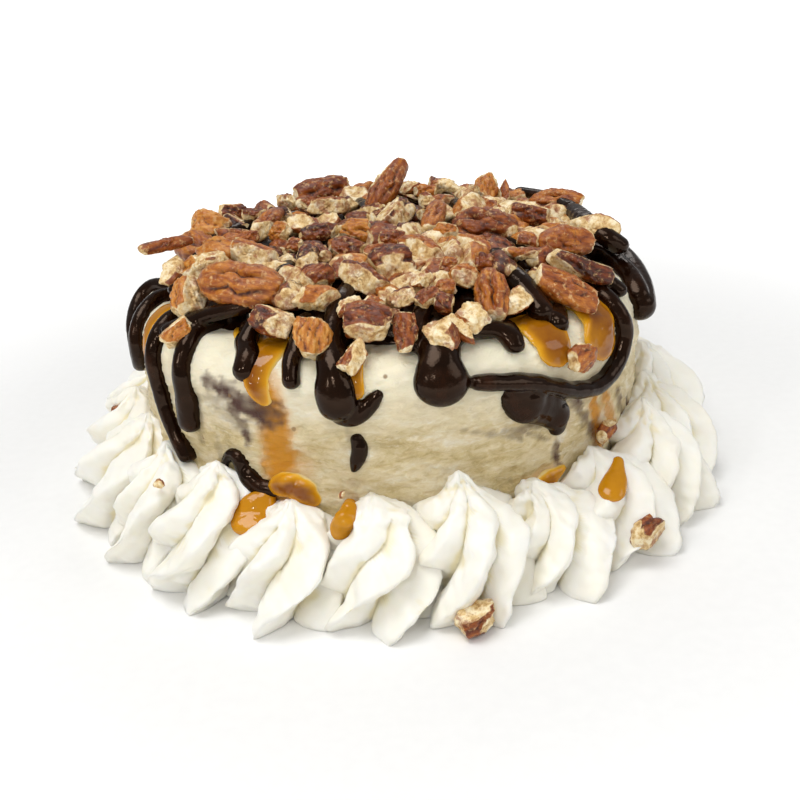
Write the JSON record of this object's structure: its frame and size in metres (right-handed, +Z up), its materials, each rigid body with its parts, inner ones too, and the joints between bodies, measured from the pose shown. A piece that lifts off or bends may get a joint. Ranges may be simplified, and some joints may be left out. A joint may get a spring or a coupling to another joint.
{
  "type": "ice cream cake",
  "caption": "Round ice cream cake with fudge and caramel run down its side, chopped pecans heaped on top and piped cream stars round its foot.",
  "frame": {"origin": "middle of the cake's flat foot, on the surface it rests on", "axes": "+Z up; -Y is the front that the picture shows; +X is to the right seen from the front"},
  "size_m": [0.1921, 0.1895, 0.085],
  "materials": {
    "ice_cream": "scraped vanilla ice cream, satin, with dark fudge and amber caramel fused on",
    "pecan": "chopped pecans, brown skins and pale broken faces",
    "whipped_cream": "smooth piped whipped cream"
  },
  "bodies": {
    "root": {"ice_cream": "ice_cream", "pecan_heap": "pecan", "cream_star_01": "whipped_cream", "cream_star_02": "whipped_cream", "cream_star_03": "whipped_cream", "cream_star_04": "whipped_cream", "cream_star_05": "whipped_cream", "cream_star_06": "whipped_cream", "cream_star_07": "whipped_cream", "cream_star_08": "whipped_cream", "cream_star_09": "whipped_cream", "cream_star_10": "whipped_cream", "cream_star_11": "whipped_cream", "cream_star_12": "whipped_cream", "cream_star_13": "whipped_cream", "cream_star_14": "whipped_cream", "cream_star_15": "whipped_cream", "cream_star_16": "whipped_cream", "cream_star_17": "whipped_cream", "cream_star_18": "whipped_cream", "cream_star_19": "whipped_cream", "cream_star_20": "whipped_cream", "cream_star_21": "whipped_cream", "cream_star_22": "whipped_cream"}
  },
  "joints": []
}
